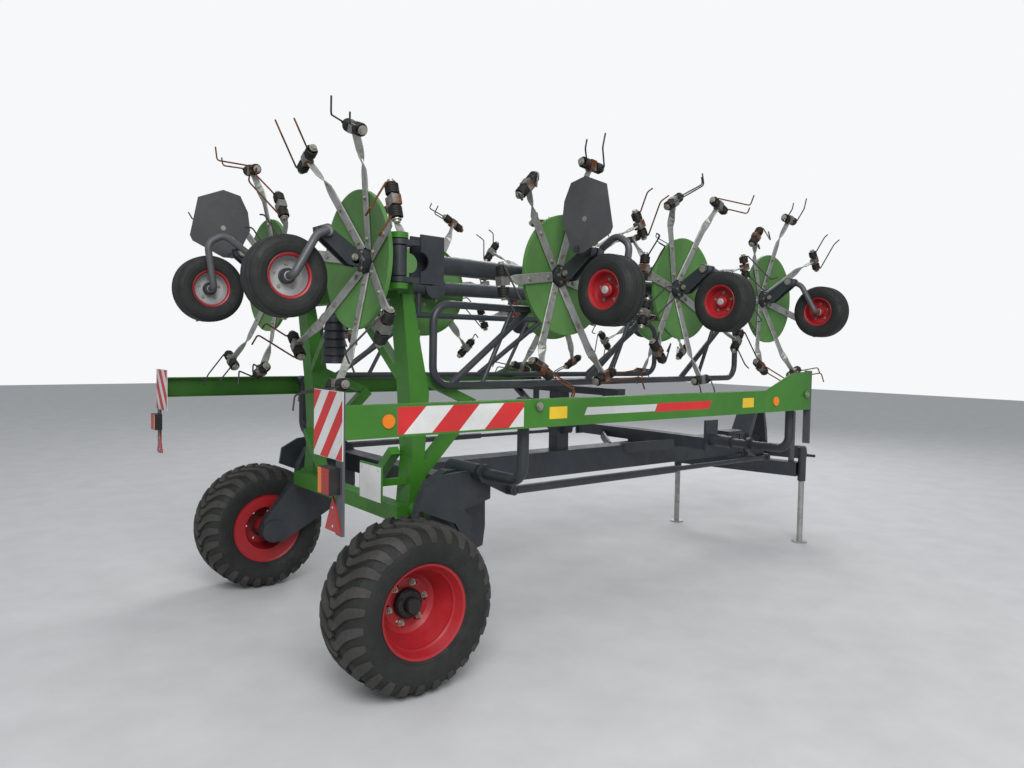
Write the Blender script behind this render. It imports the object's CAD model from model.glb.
"""Looks of the hay tedder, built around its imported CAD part. Metres, in the CAD part's frame."""

import math
import random

import bmesh
import bpy
from mathutils import Matrix, Vector


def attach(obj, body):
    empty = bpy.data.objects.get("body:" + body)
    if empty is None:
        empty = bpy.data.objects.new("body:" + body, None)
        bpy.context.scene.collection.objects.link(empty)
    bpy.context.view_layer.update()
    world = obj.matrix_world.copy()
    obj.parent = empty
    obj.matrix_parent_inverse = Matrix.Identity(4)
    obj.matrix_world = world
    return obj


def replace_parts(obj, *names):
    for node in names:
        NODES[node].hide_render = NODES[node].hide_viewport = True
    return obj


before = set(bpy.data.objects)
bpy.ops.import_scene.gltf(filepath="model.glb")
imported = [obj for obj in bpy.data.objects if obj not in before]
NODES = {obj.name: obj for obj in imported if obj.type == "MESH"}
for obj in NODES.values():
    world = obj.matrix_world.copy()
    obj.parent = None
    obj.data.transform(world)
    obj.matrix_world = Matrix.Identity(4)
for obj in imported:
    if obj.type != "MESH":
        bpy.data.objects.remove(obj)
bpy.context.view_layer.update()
random.seed(7)

# Place of the part's source origin (the road wheels' axle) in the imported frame
AXLE_X = -2.203

# Driving sizes of the part, in metres and radians
TOE = math.radians(5.4)
ROTOR_PITCH = 1.255
ROTOR_Z = 2.158
ROTOR_BACK = 0.033
HINGE_AHEAD = 0.115
HINGE_OUT = 0.141
HINGE_X = HINGE_AHEAD - ROTOR_BACK
HINGE_Y = ROTOR_PITCH / 2 + HINGE_OUT
SMALL_DEEP = 0.424
SMALL_DROP = 0.108
DISC_R = 0.363
DISC_SLOPE = 0.074 / (DISC_R - 0.068)
HUB_R = 0.060
ARM_N = 7
ARM_T = 0.010
HALF_TRACK = 1.042
ROAD_R = 0.425


# Materials


def new_material(name):
    m = bpy.data.materials.new(name)
    m.use_nodes = True
    tree = m.node_tree
    shader = tree.nodes["Principled BSDF"]
    return m, tree, shader


def noise(tree, scale, detail=4.0, rough=0.6, coord=None):
    n = tree.nodes.new("ShaderNodeTexNoise")
    n.inputs["Scale"].default_value = scale
    n.inputs["Detail"].default_value = detail
    n.inputs["Roughness"].default_value = rough
    if coord is None:
        coord = tree.nodes.new("ShaderNodeTexCoord").outputs["Object"]
    tree.links.new(coord, n.inputs["Vector"])
    return n.outputs["Fac"]


def ramp(tree, value, stops):
    r = tree.nodes.new("ShaderNodeValToRGB")
    r.color_ramp.elements[0].position = stops[0][0]
    r.color_ramp.elements[0].color = (*stops[0][1], 1)
    r.color_ramp.elements[1].position = stops[1][0]
    r.color_ramp.elements[1].color = (*stops[1][1], 1)
    for p, c in stops[2:]:
        e = r.color_ramp.elements.new(p)
        e.color = (*c, 1)
    tree.links.new(value, r.inputs["Fac"])
    return r.outputs["Color"]


def mix(tree, fac, a, b):
    n = tree.nodes.new("ShaderNodeMix")
    n.data_type = "RGBA"
    if isinstance(fac, float):
        n.inputs["Factor"].default_value = fac
    else:
        tree.links.new(fac, n.inputs["Factor"])
    for value, socket in ((a, n.inputs["A"]), (b, n.inputs["B"])):
        if isinstance(value, tuple):
            socket.default_value = (*value, 1)
        else:
            tree.links.new(value, socket)
    return n.outputs["Result"]


def bump(tree, shader, height, strength, distance=0.002):
    b = tree.nodes.new("ShaderNodeBump")
    b.inputs["Strength"].default_value = strength
    b.inputs["Distance"].default_value = distance
    tree.links.new(height, b.inputs["Height"])
    tree.links.new(b.outputs["Normal"], shader.inputs["Normal"])


def grey(v):
    return (v, v, v)


DUST = (0.16, 0.14, 0.11)
RUST = (0.16, 0.06, 0.025)


def paint(name, colour, rough=0.35, dirt=0.35):
    """Painted metal with dust in large patches and fine variation."""
    m, tree, shader = new_material(name)
    dark = tuple(c * 0.72 for c in colour)
    base = ramp(tree, noise(tree, 2.2, 6), [(0.35, dark), (0.65, colour)])
    film = ramp(tree, noise(tree, 9.0, 8, 0.7), [(0.48, grey(0.0)), (0.8, grey(dirt))])
    colour_out = mix(tree, film, base, DUST)
    tree.links.new(colour_out, shader.inputs["Base Color"])
    rough_out = ramp(tree, noise(tree, 14.0, 6), [(0.3, grey(rough)), (0.75, grey(rough + 0.22))])
    tree.links.new(rough_out, shader.inputs["Roughness"])
    bump(tree, shader, noise(tree, 60.0, 3), 0.12)
    return m


def metal(name, colour, rough=0.45, rust=0.0):
    m, tree, shader = new_material(name)
    shader.inputs["Metallic"].default_value = 0.75
    dark = tuple(c * 0.6 for c in colour)
    base = ramp(tree, noise(tree, 16.0, 8, 0.7), [(0.3, dark), (0.7, colour)])
    if rust > 0:
        spots = ramp(tree, noise(tree, 7.0, 8, 0.7), [(0.62 - rust, grey(0.0)), (0.72 - rust, grey(1.0))])
        base = mix(tree, spots, base, RUST)
    tree.links.new(base, shader.inputs["Base Color"])
    rough_out = ramp(tree, noise(tree, 25.0, 6), [(0.3, grey(rough)), (0.75, grey(rough + 0.25))])
    tree.links.new(rough_out, shader.inputs["Roughness"])
    bump(tree, shader, noise(tree, 90.0, 4), 0.15)
    return m


def rubber(name, dark=(0.008, 0.008, 0.008), dusty=(0.020, 0.020, 0.019)):
    m, tree, shader = new_material(name)
    base = ramp(tree, noise(tree, 6.0, 8, 0.7), [(0.35, dark), (0.75, dusty)])
    tree.links.new(base, shader.inputs["Base Color"])
    rough_out = ramp(tree, noise(tree, 18.0, 6), [(0.3, grey(0.62)), (0.75, grey(0.9))])
    tree.links.new(rough_out, shader.inputs["Roughness"])
    bump(tree, shader, noise(tree, 120.0, 4), 0.25)
    return m


GREEN = paint("green", (0.042, 0.190, 0.014), dirt=0.16)
DARK = paint("anthracite", (0.030, 0.036, 0.044), dirt=0.16)
RED = paint("red", (0.40, 0.012, 0.018), dirt=0.10)
ARM = metal("galvanised", (0.50, 0.51, 0.48), rust=0.03)
TYRE = rubber("tyre_rubber")
TUBE = paint("grey_tube", (0.085, 0.090, 0.098), dirt=0.25)
SHEET = paint("grey_sheet", (0.060, 0.062, 0.066), rough=0.5, dirt=0.2)
BARE = metal("bare_steel", (0.30, 0.30, 0.28), rust=0.14)
BOLT = metal("zinc_bolt", (0.46, 0.44, 0.38), rough=0.35, rust=0.04)
WIRE = metal("spring_wire", (0.085, 0.082, 0.078), rust=0.03)
COIL_WIRE = metal("coil_wire", (0.045, 0.043, 0.041), rust=0.02)
SILVER = paint("silver_paint", (0.42, 0.42, 0.42), dirt=0.3)
WHITE = paint("white_board", (0.72, 0.72, 0.70), rough=0.4, dirt=0.1)
RED_FILM = paint("red_film", (0.62, 0.020, 0.022), rough=0.4, dirt=0.08)
SILVER_FILM = paint("silver_film", (0.55, 0.56, 0.56), rough=0.4, dirt=0.1)
YELLOW_FILM = paint("yellow_film", (0.80, 0.52, 0.02), rough=0.4, dirt=0.08)
AMBER = paint("amber_lens", (0.85, 0.22, 0.01), rough=0.15, dirt=0.05)
LAMP_RED = paint("red_lens", (0.42, 0.008, 0.008), rough=0.12, dirt=0.05)
DISC_GREEN = paint("disc_green", (0.085, 0.235, 0.050), rough=0.45, dirt=0.38)
RUSTY = metal("rusty_wire", (0.20, 0.10, 0.055), rough=0.6, rust=0.3)
BLACK = paint("black_plastic", (0.010, 0.010, 0.011), rough=0.4, dirt=0.12)
TREAD = rubber("worn_tread", (0.022, 0.021, 0.019), (0.060, 0.056, 0.049))
PLATE = paint("blank_plate", (0.78, 0.78, 0.76), rough=0.35, dirt=0.08)


def material_of(name):
    if name.startswith(("tyre", "wheel")):
        return TYRE
    if name.startswith("rim"):
        return RED
    if name.startswith("disc"):
        return DISC_GREEN
    if name.startswith("guard") or name == "tower":
        return GREEN
    if name.startswith("posts"):
        return TUBE
    if name.startswith(("arms", "jack")):
        return ARM
    if name.startswith("boards"):
        return WHITE
    return DARK


for node_name, node_object in NODES.items():
    node_object.data.materials.clear()
    node_object.data.materials.append(material_of(node_name))


# Frames, in metres


def axle(x, y, z):
    """A point given from the road wheels' axle on the ground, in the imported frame."""
    return Vector((x + AXLE_X, y, z))


def matrix(origin, x_axis, y_axis, z_axis):
    m = Matrix((x_axis, y_axis, z_axis)).transposed().to_4x4()
    m.translation = origin
    return m


def sided(side):
    """Frame of one side of the machine: +Y outwards."""
    return matrix(axle(0, 0, 0), (1, 0, 0), (0, side, 0), (0, 0, 1))


def wing_frame(side):
    """+X along the boom, +Y towards the ground side, +Z up, from the hinge's foot."""
    c, s = math.cos(TOE), math.sin(TOE)
    return matrix(axle(HINGE_X, side * HINGE_Y, 0), (c, -side * s, 0), (s, side * c, 0), (0, 0, 1))


def rotor_frame(side, k):
    """+X up, +Y along the row of rotors, +Z towards the ground side, from the middle of the hub."""
    if k == 1:
        return matrix(axle(-ROTOR_BACK, side * ROTOR_PITCH / 2, ROTOR_Z), (0, 0, 1), (0, 1, 0), (-1, 0, 0))
    w = wing_frame(side)
    hub = w @ Vector(((k - 1) * ROTOR_PITCH - HINGE_OUT, HINGE_AHEAD, ROTOR_Z))
    return matrix(hub, w.col[2].xyz, w.col[0].xyz, w.col[1].xyz)


# Mesh building


class Shape:
    """Gathers simple forms into one mesh. Each form has a material, and is placed by the shape's frame."""

    def __init__(self, place=None):
        self.place = place or Matrix()
        self.verts = []
        self.faces = []
        self.looks = []
        self.smooth = []
        self.materials = []

    def add(self, verts, faces, material, smooth=False, place=None):
        base = len(self.verts)
        m = self.place @ place if place is not None else self.place
        self.verts += [m @ Vector(v) for v in verts]
        self.faces += [[base + i for i in f] for f in faces]
        if material not in self.materials:
            self.materials.append(material)
        self.looks += [self.materials.index(material)] * len(faces)
        self.smooth += [smooth] * len(faces)

    def box(self, low, high, material):
        v = [(x, y, z) for x in (low[0], high[0]) for y in (low[1], high[1]) for z in (low[2], high[2])]
        f = [(0, 1, 3, 2), (4, 6, 7, 5), (0, 4, 5, 1), (2, 3, 7, 6), (0, 2, 6, 4), (1, 5, 7, 3)]
        self.add(v, f, material)

    def loft(self, rings, material, smooth=True, caps=True):
        """Skin over rings with the same number of points; the caps have their own points."""
        n = len(rings[0])
        verts = [p for ring in rings for p in ring]
        faces = []
        for i in range(len(rings) - 1):
            a, b = i * n, (i + 1) * n
            faces += [(a + j, a + (j + 1) % n, b + (j + 1) % n, b + j) for j in range(n)]
        self.add(verts, faces, material, smooth)
        if caps:
            self.add(rings[0], [tuple(reversed(range(n)))], material)
            self.add(rings[-1], [tuple(range(n))], material)

    def tube(self, points, radius, material, sides):
        """Round tube along a path."""
        pts = [Vector(p) for p in points]
        normal = None
        rings = []
        for i, p in enumerate(pts):
            after = pts[i + 1] if i + 1 < len(pts) else p
            before = pts[i - 1] if i > 0 else p
            way = (after - before).normalized()
            if normal is None:
                normal = way.orthogonal().normalized()
            normal = (normal - way * normal.dot(way)).normalized()
            side = way.cross(normal)
            rings.append([
                p + radius * (math.cos(t) * normal + math.sin(t) * side)
                for t in (2 * math.pi * j / sides for j in range(sides))
            ])
        self.loft(rings, material)

    def rod(self, a, b, radius, material, sides=16):
        self.tube([a, b], radius, material, sides)

    def revolve(self, profile, material, steps, closed=True):
        """Profile of (radius, height) points turned about +Z; closed profiles are rings."""
        rings = [
            [(r * math.cos(t), r * math.sin(t), h) for t in (2 * math.pi * j / steps for j in range(steps))]
            for r, h in profile
        ]
        for i in range(len(rings) if closed else len(rings) - 1):
            self.loft([rings[i], rings[(i + 1) % len(rings)]], material, caps=False)

    def prism(self, outline, height, material, place):
        """Plate of an outline in the place's XY plane."""
        n = len(outline)
        low = [(x, y, 0) for x, y in outline]
        high = [(x, y, height) for x, y in outline]
        ends = [tuple(reversed(range(n))), tuple(range(n, 2 * n))]
        walls = [(i, (i + 1) % n, n + (i + 1) % n, n + i) for i in range(n)]
        self.add(low + high, ends, material, False, place)
        self.add(low + high, walls, material, False, place)

    def bolt(self, point, way, radius, material, height=None):
        """Hexagon head with a washer, standing on a surface."""
        point, way = Vector(point), Vector(way).normalized()
        height = height or radius * 0.9
        self.tube([point - way * 0.001, point + way * height * 0.25], radius * 1.35, material, 14)
        self.tube([point, point + way * height], radius, material, 6)

    def finish(self, name, body):
        mesh = bpy.data.meshes.new(name)
        mesh.from_pydata(self.verts, [], self.faces)
        for m in self.materials:
            mesh.materials.append(m)
        mesh.polygons.foreach_set("material_index", self.looks)
        mesh.polygons.foreach_set("use_smooth", self.smooth)
        work = bmesh.new()
        work.from_mesh(mesh)
        bmesh.ops.recalc_face_normals(work, faces=work.faces)
        work.to_mesh(mesh)
        work.free()
        o = bpy.data.objects.new(name, mesh)
        bpy.context.collection.objects.link(o)
        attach(o, body)
        return o


def rounded(points, radius, steps=6):
    """Path through points with each inner corner turned into an arc."""
    pts = [Vector(p) for p in points]
    out = [pts[0]]
    for a, p, b in zip(pts, pts[1:], pts[2:]):
        u, v = (p - a).normalized(), (b - p).normalized()
        turn = u.angle(v)
        reach = min(radius * math.tan(turn / 2), 0.48 * (p - a).length, 0.48 * (b - p).length)
        start, end = p - u * reach, p + v * reach
        for i in range(steps + 1):
            t = i / steps
            out.append((1 - t) ** 2 * start + 2 * t * (1 - t) * p + t * t * end)
    return out + [pts[-1]]


SIDES = {"right": -1, "left": 1}
ROTORS = [(name, side, k) for name, side in SIDES.items() for k in (1, 2, 3, 4)]


def tag(name, k):
    return f"{name[0]}{k}"


# Rotor arms with their coils and tines

# Turn of the first arm, in steps of an arm, and the side to which the tines lean
ARM_TURN = {"r1": -0.4, "r2": 0.1, "r3": 0.4, "r4": 0.1, "l1": -0.1, "l2": -0.4, "l3": -0.1, "l4": -0.4}
ARM_LEAN = {"r1": -1, "r2": -1, "r3": 1, "r4": -1, "l1": 1, "l2": -1, "l3": 1, "l4": -1}
ARM_ROOT = 0.068
BEND_R = 0.480
# Sections of an arm: distance from the rotor's axis, twist in degrees, width
ARM_SECTIONS = [
    (ARM_ROOT, 0, 0.060), (0.30, 0, 0.060), (0.44, 0, 0.060), (0.47, 6, 0.059), (0.50, 28, 0.055),
    (0.53, 56, 0.049), (0.56, 82, 0.044), (0.585, 90, 0.042), (0.645, 90, 0.042),
]
DISC_T = 0.007
# Height of a bar's underside above the hub plane, carried down the cone to the hub's rim
SEAT_Z = -0.0061
RUSTY_SHARE = 0.2
COIL = Vector((0.655, 0, 0.188))
COIL_R = 0.0283
WIRE_R = 0.0049
COIL_TURNS = 5.5
# Side of the coil, way from the coil to the tine's knee, length of the hook
TINES = [(-1, Vector((0.042, 0.194, 0.162)), 0.082), (1, Vector((0.026, 0.122, 0.102)), 0.050)]
HOOK_WAY = Vector((0.98, 0, 0.15)).normalized()
ARM_BOLTS = (0.120, 0.330)


def on_cone(r):
    """Height of a bar's middle above the hub plane where it lies on the disc."""
    return SEAT_Z + (r - HUB_R) * DISC_SLOPE + 0.5 * ARM_T * math.hypot(1, DISC_SLOPE)


def arm_bar(shape):
    """Flat bar on the disc's cone, then bent up and twisted by a quarter turn towards the coils."""
    cone = math.atan(DISC_SLOPE)
    bend_z = on_cone(BEND_R)
    rise = (COIL.z - bend_z) / (COIL.x - BEND_R)
    sections = []
    flat = Vector((-math.sin(cone), 0, math.cos(cone)))
    risen = Vector((-rise * 0.8, 0, 1)).normalized()
    for r, twist, width in ARM_SECTIONS:
        z = on_cone(r) if r < BEND_R else bend_z + (r - BEND_R) * rise
        a = math.radians(twist)
        tilt = risen if r > BEND_R else flat
        side = Vector((0, 1, 0))
        across = (math.cos(a) * side + math.sin(a) * tilt) * width / 2
        thick = (-math.sin(a) * side + math.cos(a) * tilt) * ARM_T / 2
        c = Vector((r, 0, z))
        soft = 0.86
        sections.append([c + across * soft + thick, c - across * soft + thick, c - across + thick * 0.3,
                         c - across - thick * 0.3, c - across * soft - thick, c + across * soft - thick,
                         c + across - thick * 0.3, c + across + thick * 0.3])
    shape.loft(sections, ARM, smooth=False)
    for r in ARM_BOLTS:
        middle = Vector((r, 0, on_cone(r)))
        shape.bolt(middle + flat * ARM_T / 2, flat, 0.012, BOLT)
        shape.bolt(middle - flat * (ARM_T / 2 + DISC_T), -flat, 0.012, BOLT)


def arm_end(shape):
    """Clamp on the bar's end and the bolt that runs through both coils."""
    shape.rod(COIL - Vector((0, 0.098, 0)), COIL + Vector((0, 0.098, 0)), 0.0125, BARE)
    for s in (-1, 1):
        shape.bolt(COIL + Vector((0, s * 0.090, 0)), (0, s, 0), 0.017, BOLT, 0.014)
    shape.box(COIL - Vector((0.032, 0.024, 0.024)), COIL + Vector((0.030, 0.024, 0.024)), BARE)


def tine(shape, hand, leg, hook, look):
    """Coil and tine from one wire."""
    path = []
    start = COIL + Vector((0, hand * 0.076, 0.019))
    inner, outer = hand * 0.034, hand * 0.080
    steps = 14
    total = int(COIL_TURNS * steps)
    for i in range(total + 1):
        t = i / total
        a = math.pi / 2 - 2 * math.pi * COIL_TURNS * (1 - t)
        path.append(COIL + Vector((COIL_R * math.cos(a), inner + (outer - inner) * t, COIL_R * math.sin(a))))
    knee = start + leg
    run_out = path[-1] + Vector((0.012, hand * 0.002, 0.004))
    legs = rounded([path[-1], run_out, knee, knee + HOOK_WAY * hook], 0.025, 5)
    shape.tube(path + legs[1:3], WIRE_R, COIL_WIRE, 8)
    shape.tube(legs[2:], WIRE_R, look, 8)


def rotor_arms(name, side, k):
    key = tag(name, k)
    arms = Shape(rotor_frame(side, k))
    frame_there = arms.place
    for i in range(ARM_N):
        turn = Matrix.Rotation(2 * math.pi * (ARM_TURN[key] + i) / ARM_N, 4, "Z")
        lean = Matrix.Scale(-1, 4, (0, 1, 0)) if ARM_LEAN[key] < 0 else Matrix()
        arms.place = frame_there @ turn @ lean
        arm_bar(arms)
        arm_end(arms)
        look = RUSTY if random.random() < RUSTY_SHARE else WIRE
        for hand, leg, hook in TINES:
            tine(arms, hand, leg, hook, look)
    piece = arms.finish(f"arms_{key}_detail", f"rotor_{key}")
    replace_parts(piece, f"arms_{key}")


for rotor in ROTORS:
    rotor_arms(*rotor)


# Hubs of the rotor discs


def face_look(name, material, keep):
    """Gives a look of their own to the faces of a CAD node whose middle passes a test."""
    mesh = NODES[name].data
    mesh.materials.append(material)
    index = len(mesh.materials) - 1
    for face in mesh.polygons:
        if keep(face.center):
            face.material_index = index


def rotor_hub(name, side, k):
    key = tag(name, k)
    place = rotor_frame(side, k)
    back = place.inverted()

    def is_hub(p):
        q = back @ p
        return math.hypot(q.x, q.y) < HUB_R + 0.0005

    face_look(f"disc_{key}", DARK, is_hub)
    hub = Shape(place)
    for i in range(6):
        a = 2 * math.pi * (i + 0.5) / 6
        hub.bolt((0.047 * math.cos(a), 0.047 * math.sin(a), 0.040), (0, 0, 1), 0.008, BOLT, 0.006)
    hub.revolve([(0.034, 0.0402), (0.040, 0.0402), (0.040, 0.046), (0.034, 0.046)], BARE, 32)
    hub.finish(f"hub_{key}_bolts", f"rotor_{key}")


for rotor in ROTORS:
    rotor_hub(*rotor)


# Road wheels

LUG_N = 26
# One lug from the middle of the tread to the sidewall: place across the tyre and radius of its top,
# the same of its foot, way round the tyre, width
LUG_PATH = [
    (-0.014, 0.4235, -0.014, 0.405, 0.018, 0.024), (0.004, 0.425, 0.004, 0.405, 0.005, 0.034),
    (0.030, 0.425, 0.030, 0.405, 0.008, 0.042), (0.065, 0.4247, 0.065, 0.405, 0.032, 0.050),
    (0.100, 0.4230, 0.100, 0.403, 0.064, 0.054), (0.128, 0.4165, 0.122, 0.398, 0.088, 0.056),
    (0.150, 0.4050, 0.140, 0.389, 0.101, 0.054), (0.170, 0.3870, 0.158, 0.375, 0.109, 0.050),
    (0.184, 0.3640, 0.172, 0.358, 0.113, 0.044), (0.1885, 0.345, 0.180, 0.342, 0.115, 0.036),
]
# Radius and place across the tyre, from the bead to the middle of the tread
TYRE_HALF = [
    (0.225, 0.150), (0.236, 0.160), (0.246, 0.166), (0.250, 0.171), (0.255, 0.171), (0.258, 0.1735),
    (0.275, 0.1805), (0.300, 0.187), (0.325, 0.1893), (0.349, 0.1855), (0.372, 0.172), (0.391, 0.152),
    (0.402, 0.130), (0.4075, 0.105), (0.409, 0.070), (0.409, 0.020),
]
WEB_BOLT_R = 0.103


def road_frame(side):
    """Frame of a road wheel: +X forward, +Y up, +Z outwards along the axle."""
    return matrix(axle(0, side * HALF_TRACK, ROAD_R), (1, 0, 0), (0, 0, 1), (0, side, 0))


def lug(shape, turn, hand):
    rings = []
    for y_top, r_top, y_foot, r_foot, way, width in LUG_PATH:
        ring = []
        for reach, y, r in ((-width / 2 - 0.004, y_foot, r_foot), (-width / 2, y_top, r_top),
                            (width / 2, y_top, r_top), (width / 2 + 0.004, y_foot, r_foot)):
            a = turn - (way + reach) / ROAD_R
            ring.append((r * math.cos(a), r * math.sin(a), hand * y))
        rings.append(ring)
    shape.loft(rings, TREAD, smooth=False)


def road_wheel(name, side):
    tyre = Shape(road_frame(side))
    tyre.revolve(TYRE_HALF + [(r, -z) for r, z in reversed(TYRE_HALF)], TYRE, 120, closed=False)
    for i in range(LUG_N):
        for hand in (-1, 1):
            lug(tyre, 2 * math.pi * (i + 0.25 * hand) / LUG_N, hand)
    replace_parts(tyre.finish(f"tyre_{name}_detail", f"road_wheel_{name}"), f"tyre_{name}")

    middle = axle(0, side * HALF_TRACK, ROAD_R)

    def is_cap(p):
        q = p - middle
        return math.hypot(q.x, q.z) < 0.0765 and q.y * side > -0.036

    face_look(f"rim_{name}", BLACK, is_cap)
    bolts = Shape(road_frame(side))
    for i in range(6):
        a = 2 * math.pi * (i + 0.2) / 6
        foot = Vector((WEB_BOLT_R * math.cos(a), WEB_BOLT_R * math.sin(a), -0.018))
        bolts.bolt(foot, (0, 0, 1), 0.0125, BOLT, 0.014)
        bolts.rod(foot, foot + Vector((0, 0, 0.026)), 0.0068, BOLT, 12)
    for i in range(5):
        a = 2 * math.pi * i / 5
        bolts.bolt((0.060 * math.cos(a), 0.060 * math.sin(a), 0.0205), (0, 0, 1), 0.006, BLACK, 0.005)
    bolts.finish(f"road_bolts_{name}", f"road_wheel_{name}")


for side_name, side_sign in SIDES.items():
    road_wheel(side_name, side_sign)


# Rotor wheels

WHEEL_SHIFT = {"r1": 0.053, "l1": 0.053, "2": -0.020, "3": -0.045, "4": 0.195}
SMALL_R, SMALL_W = 0.207, 0.160
GREY_RIMS = ("r1", "l1")


def small_wheel_frame(side, k):
    key = tag("right" if side < 0 else "left", k)
    shift = WHEEL_SHIFT.get(key, WHEEL_SHIFT.get(str(k)))
    place = rotor_frame(side, k) @ Matrix.Translation((-SMALL_DROP, shift, SMALL_DEEP))
    return place @ Matrix.Rotation(math.pi / 2, 4, "X")


def small_tyre_profile():
    h = SMALL_W / 2
    side = [(0.100, h - 0.022), (0.112, h - 0.012), (0.128, h - 0.004), (0.150, h), (0.170, h - 0.001),
            (SMALL_R - 0.022, h - 0.008), (SMALL_R - 0.012, h - 0.016), (SMALL_R - 0.006, h - 0.026)]
    ribs = []
    for centre, half in ((0.041, 0.011), (0.015, 0.0105)):
        ribs += [(SMALL_R - 0.001, centre + half), (SMALL_R, centre - half),
                 (SMALL_R - 0.008, centre - half - 0.0008), (SMALL_R - 0.008, centre - half - 0.004)]
    ribs = ribs[:-2]
    upper = side + ribs
    return upper + [(r, -z) for r, z in reversed(upper)]


def small_wheel(name, side, k):
    key = tag(name, k)
    wheel = Shape(small_wheel_frame(side, k))
    wheel.revolve(small_tyre_profile(), TYRE, 64, closed=False)
    grey = key in GREY_RIMS
    disc_look = SILVER if grey else RED
    lip = [(0.103, 0.060), (0.113, 0.066), (0.116, 0.068), (0.112, 0.0705), (0.104, 0.067), (0.099, 0.056)]
    for s in (-1, 1):
        wheel.revolve([(r, s * z) for r, z in lip], RED, 48)
        dish = [(0.100, 0.058), (0.094, 0.030), (0.086, 0.014), (0.060, 0.010), (0.040, 0.012)]
        wheel.revolve([(r, s * z) for r, z in dish], disc_look, 48, closed=False)
        wheel.revolve([(0.040, s * 0.012), (0.040, s * 0.042), (0.034, s * 0.050), (0.016, s * 0.050)],
                      DARK if grey else disc_look, 32, closed=False)
        wheel.revolve([(0.024, s * 0.046), (0.024, s * 0.056), (0.018, s * 0.062), (0.0001, s * 0.064)],
                      SILVER, 24, closed=False)
        for i in range(5):
            a = 2 * math.pi * i / 5
            p = Vector((0.064 * math.cos(a), 0.064 * math.sin(a), s * 0.011))
            wheel.bolt(p, (0, 0, s), 0.008, BOLT)
    piece = wheel.finish(f"wheel_{key}_detail", f"small_wheel_{key}")
    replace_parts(piece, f"wheel_{key}")


for rotor in ROTORS:
    small_wheel(*rotor)


# Carriers of the rotor wheels

GOOSE_NECK = 0.095
SLEEVE = Vector((0.132, 0, 0.245))
SHIELD = [
    (0.234, -0.507), (0.479, -0.457), (0.545, -0.300), (0.520, -0.190), (0.420, -0.140),
    (0.300, -0.125), (0.110, -0.215), (0.110, -0.300), (0.200, -0.490),
]
CARRIER = [
    (-0.035, -0.060), (-0.030, -0.112), (0.105, -0.280), (0.150, -0.285), (0.165, -0.240),
    (0.060, -0.080), (0.035, -0.060),
]


def across_row(y):
    """Turns a flat outline into a plate across the row, from the place y on."""
    return Matrix.Translation((0, y, 0)) @ Matrix.Rotation(-math.pi / 2, 4, "X")


def stem(shape, shift, hand, neck):
    """Carrier whose wheel stands at shift along the row and hangs from the side hand."""
    out = shift + hand * (SMALL_W / 2 + 0.034)
    for y in (-0.038, 0.024):
        shape.prism(CARRIER, 0.014, DARK, across_row(y))
        shape.bolt((0.010, y + (0 if y < 0 else 0.014), 0.085), (0, -1 if y < 0 else 1, 0), 0.014, BOLT)
    shape.rod((0, 0, 0.055), (0, 0, 0.105), 0.026, DARK, 24)
    shape.rod((0, -0.038, 0.078), (0, 0.038, 0.078), 0.023, DARK, 24)
    low, high = min(-0.048, out), max(0.048, out)
    shape.rod((SLEEVE.x, low, SLEEVE.z), (SLEEVE.x, high, SLEEVE.z), 0.031, TUBE, 24)
    for y in (low, high):
        shape.rod((SLEEVE.x, y - 0.003, SLEEVE.z), (SLEEVE.x, y + 0.003, SLEEVE.z), 0.024, BOLT, 20)
    drop, deep = -SMALL_DROP, SMALL_DEEP
    if neck:
        path = [(SLEEVE.x, out, SLEEVE.z - 0.020), (SLEEVE.x + neck, out, deep - 0.060),
                (SLEEVE.x + neck - 0.060, out, deep + 0.040), (drop, out, deep)]
    else:
        path = [(SLEEVE.x, out, SLEEVE.z), (SLEEVE.x - 0.030, out, SLEEVE.z + 0.060), (drop, out, deep)]
    path.append((drop, shift + hand * 0.056, deep))
    shape.tube(rounded(path, 0.075, 8), 0.021, TUBE, 18)
    y0 = min(shift + hand * 0.070, shift - hand * 0.050)
    shape.rod((drop, y0, deep), (drop, y0 + 0.120, deep), 0.0155, BARE)


def shield(shape, place):
    """Guard plate at a place along the row, with its arm from the sleeve."""
    low, high = min(0.040, place), max(0.040, place)
    shape.rod((SLEEVE.x, low, SLEEVE.z), (SLEEVE.x, high, SLEEVE.z), 0.025, TUBE, 20)
    shape.prism(SHIELD, 0.005, SHEET, across_row(place))
    shape.bolt((0.300, place, 0.300), (0, 1, 0), 0.012, BOLT)
    shape.bolt((0.300, place + 0.005, 0.300), (0, 1, 0), 0.012, BOLT)


def middle_stems():
    piece = Shape()
    for side in (-1, 1):
        piece.place = rotor_frame(side, 1)
        stem(piece, WHEEL_SHIFT["r1"], -1, GOOSE_NECK if side > 0 else 0)
        if side > 0:
            shield(piece, WHEEL_SHIFT["l1"] + SMALL_W / 2 + 0.020)
    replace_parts(piece.finish("middle_stems_detail", "tilt_frame"), "middle_stems")


def wing_stems(name, side):
    piece = Shape()
    for k in (2, 3, 4):
        piece.place = rotor_frame(side, k)
        shift = WHEEL_SHIFT[str(k)]
        goose = side < 0 and k == 2
        stem(piece, shift, -1 if k == 4 else 1, GOOSE_NECK if goose else 0)
        if goose:
            shield(piece, shift - SMALL_W / 2 - 0.020)
    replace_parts(piece.finish(f"stems_{name}_detail", f"wing_{name}"), f"stems_{name}")


middle_stems()
for side_name, side_sign in SIDES.items():
    wing_stems(side_name, side_sign)


# Side guards, warning boards and lamps

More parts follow.
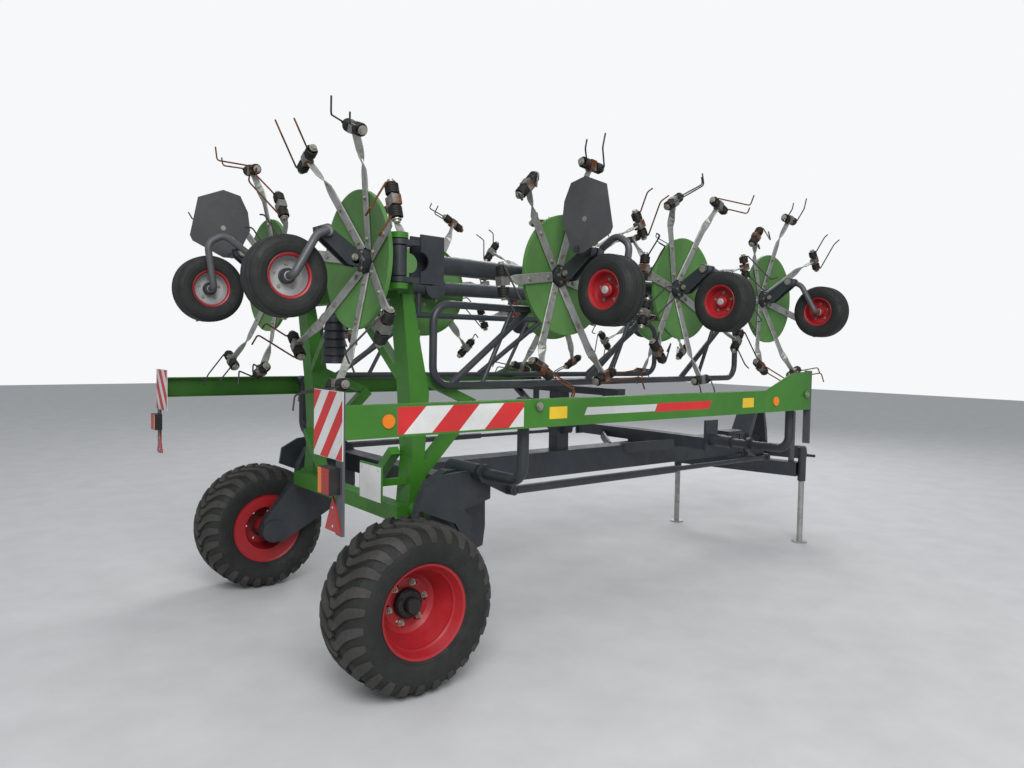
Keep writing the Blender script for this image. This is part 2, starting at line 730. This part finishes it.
GUARD_Y = 1.477
GUARD_LOW, GUARD_HIGH = 1.324, 1.462
PANEL_X = (-0.320, 0.370)
SILVER_BAND_X = (0.770, 1.310)
RED_BAND_X = (1.310, 1.790)
YELLOW_X = (0.592, 2.186)
AMBER_X = (-0.364, 2.489)
CRANK_PIN_X = (0.460, 2.840)
CRANK_PIN_Z = 1.430
BOARD_BACK = -0.576
LAMP_LOW, LAMP_HIGH = 1.102, 1.208


def clipped(outline, keep):
    """Part of a convex outline where keep(point) is positive; keep is linear."""
    out = []
    for a, b in zip(outline, outline[1:] + outline[:1]):
        ka, kb = keep(a), keep(b)
        if ka >= 0:
            out.append(a)
        if ka * kb < 0:
            t = ka / (ka - kb)
            out.append((a[0] + t * (b[0] - a[0]), a[1] + t * (b[1] - a[1])))
    return out


def striped(shape, low, high, pitch, slope, to_world, lift):
    """Red stripes on a white field, between its low and high corners in the panel's plane."""
    field = [(low[0], low[1]), (high[0], low[1]), (high[0], high[1]), (low[0], high[1])]
    shape.add([to_world(*p, lift) for p in field], [(0, 1, 2, 3)], WHITE)
    start = low[0] - abs(slope) * (high[1] - low[1]) - pitch
    count = int((high[0] - start) / pitch) + 2
    for i in range(count):
        x0 = start + i * pitch

        def right_of(p, x0=x0):
            return (p[0] - slope * (p[1] - low[1])) - x0

        def left_of(p, x0=x0):
            return x0 + pitch / 2 - (p[0] - slope * (p[1] - low[1]))

        stripe = clipped(clipped(field, right_of), left_of)
        if len(stripe) > 2:
            shape.add([to_world(*p, lift + 0.0004) for p in stripe], [tuple(range(len(stripe)))], RED_FILM)


def guard_marks(name, side):
    marks = Shape(sided(side))

    def on_face(x, z, lift):
        return (x, GUARD_Y + lift, z)

    low, high = GUARD_LOW + 0.010, GUARD_HIGH - 0.010
    striped(marks, (PANEL_X[0], low), (PANEL_X[1], high), 0.285, 0.95, on_face, 0.0006)

    def band(x0, x1, z0, z1, slant, look):
        pts = [(x0, z0), (x1, z0), (x1 + slant, z1), (x0 + slant, z1)]
        marks.add([on_face(x, z, 0.0008) for x, z in pts], [(0, 1, 2, 3)], look)

    middle = (GUARD_LOW + GUARD_HIGH) / 2
    band(SILVER_BAND_X[0], SILVER_BAND_X[1], middle - 0.020, middle + 0.020, 0.020, SILVER_FILM)
    band(RED_BAND_X[0], RED_BAND_X[1], middle - 0.024, middle + 0.024, 0.030, RED_FILM)
    for x in YELLOW_X:
        band(x - 0.059, x + 0.059, middle - 0.030, middle + 0.030, 0, YELLOW_FILM)
    for x in AMBER_X:
        marks.tube([(x, GUARD_Y, middle), (x, GUARD_Y + 0.006, middle)], 0.030, AMBER, 24)
    for x in CRANK_PIN_X:
        marks.bolt((x, GUARD_Y + 0.012, CRANK_PIN_Z), (0, 1, 0), 0.016, BOLT, 0.010)
    marks.finish(f"guard_marks_{name}", f"guard_beam_{name}")


def board_marks(name, side):
    marks = Shape(sided(side))
    back = BOARD_BACK

    def on_back(y, z, lift):
        return (back - lift, y, z)

    striped(marks, (GUARD_Y - 0.268, 1.242), (GUARD_Y + 0.006, 1.520), 0.150, 0.85, on_back, 0.0006)
    face_look(f"boards_{name}", LAMP_RED, lambda p: p.z < 1.0875)
    face_look(f"boards_{name}", BLACK, lambda p: 1.095 < p.z < 1.215)
    for z in (0.962, 1.040):
        marks.rod((back - 0.002, GUARD_Y - 0.075, z), (back - 0.0035, GUARD_Y - 0.075, z), 0.006, SILVER_FILM)
    y0, y1 = GUARD_Y - 0.128, GUARD_Y - 0.022
    marks.box((back - 0.0445, y0, LAMP_LOW), (back - 0.0425, y0 + 0.034, LAMP_HIGH), AMBER)
    marks.box((back - 0.0445, y0 + 0.036, LAMP_LOW), (back - 0.0425, y1, LAMP_HIGH), LAMP_RED)
    marks.finish(f"board_marks_{name}", f"guard_beam_{name}")


def number_plate():
    """Blank plate and its holder on the right leg of the tilting frame."""
    plate = Shape(Matrix.Translation(axle(0, 0, 0)))
    plate.box((-0.008, -0.770, 0.878), (0.000, -0.520, 1.080), GREEN)
    plate.box((0.000, -0.665, 0.950), (0.206, -0.625, 0.985), GREEN)
    plate.box((-0.0105, -0.762, 0.884), (-0.008, -0.528, 1.070), PLATE)
    for y in (-0.735, -0.555):
        plate.bolt((-0.0105, y, 1.052), (-1, 0, 0), 0.006, SILVER_FILM, 0.002)
    plate.finish("number_plate", "tilt_frame")


number_plate()
for side_name, side_sign in SIDES.items():
    guard_marks(side_name, side_sign)
    board_marks(side_name, side_sign)


# Floor, light and camera


def add_floor():
    bpy.ops.mesh.primitive_plane_add(size=60, location=(0, 0, 0))
    floor = bpy.context.object
    floor.name = "floor"
    m, tree, shader = new_material("floor")
    base = ramp(tree, noise(tree, 3.0, 6), [(0.3, (0.52, 0.52, 0.52)), (0.7, (0.58, 0.58, 0.58))])
    tree.links.new(base, shader.inputs["Base Color"])
    shader.inputs["Roughness"].default_value = 0.9
    floor.data.materials.append(m)


def add_world():
    world = bpy.data.worlds.new("studio")
    bpy.context.scene.world = world
    world.use_nodes = True
    tree = world.node_tree
    back = tree.nodes["Background"]
    back.inputs["Color"].default_value = (0.86, 0.90, 0.95, 1)
    back.inputs["Strength"].default_value = 0.58
    seen = tree.nodes.new("ShaderNodeBackground")
    seen.inputs["Color"].default_value = (0.93, 0.94, 0.95, 1)
    seen.inputs["Strength"].default_value = 1.0
    path = tree.nodes.new("ShaderNodeLightPath")
    swap = tree.nodes.new("ShaderNodeMixShader")
    tree.links.new(path.outputs["Is Camera Ray"], swap.inputs["Fac"])
    tree.links.new(back.outputs["Background"], swap.inputs[1])
    tree.links.new(seen.outputs["Background"], swap.inputs[2])
    tree.links.new(swap.outputs["Shader"], tree.nodes["World Output"].inputs["Surface"])


def add_area(place, target, size, power):
    light = bpy.data.lights.new("soft_light", "AREA")
    light.shape = "SQUARE"
    light.size = size
    light.energy = power
    o = bpy.data.objects.new("soft_light", light)
    bpy.context.collection.objects.link(o)
    o.location = place
    o.rotation_euler = (Vector(target) - Vector(place)).to_track_quat("-Z", "Y").to_euler()


# Camera fitted to the photograph: focal length in pixels of a 1024 wide frame, place, angles
FOCAL_PX = 759.78
CAMERA = (-1.929, -4.295, 1.708)
YAW, PITCH, ROLL = (math.radians(a) for a in (51.724, -2.675, 0.975))


def add_camera():
    forward = Vector((math.cos(YAW) * math.cos(PITCH), math.sin(YAW) * math.cos(PITCH), math.sin(PITCH)))
    right = Vector((math.sin(YAW), -math.cos(YAW), 0))
    up = right.cross(forward)
    turned_right = math.cos(ROLL) * right + math.sin(ROLL) * up
    turned_up = -math.sin(ROLL) * right + math.cos(ROLL) * up
    data = bpy.data.cameras.new("camera")
    data.sensor_width = 36
    data.lens = FOCAL_PX * 36 / 1024
    data.clip_end = 200
    camera = bpy.data.objects.new("camera", data)
    bpy.context.collection.objects.link(camera)
    turn = Matrix((turned_right, turned_up, -forward)).transposed().to_4x4()
    place = Matrix.Translation(Vector(CAMERA) + Vector((AXLE_X, 0, 0)))
    camera.matrix_world = place @ turn
    bpy.context.scene.camera = camera


add_floor()
add_world()
add_area((-5, -7, 7), (0, 0, 1), 5, 700)
add_area((6, 5, 7), (0, 0, 1), 5, 400)
add_camera()
bpy.context.scene.view_settings.view_transform = "Standard"
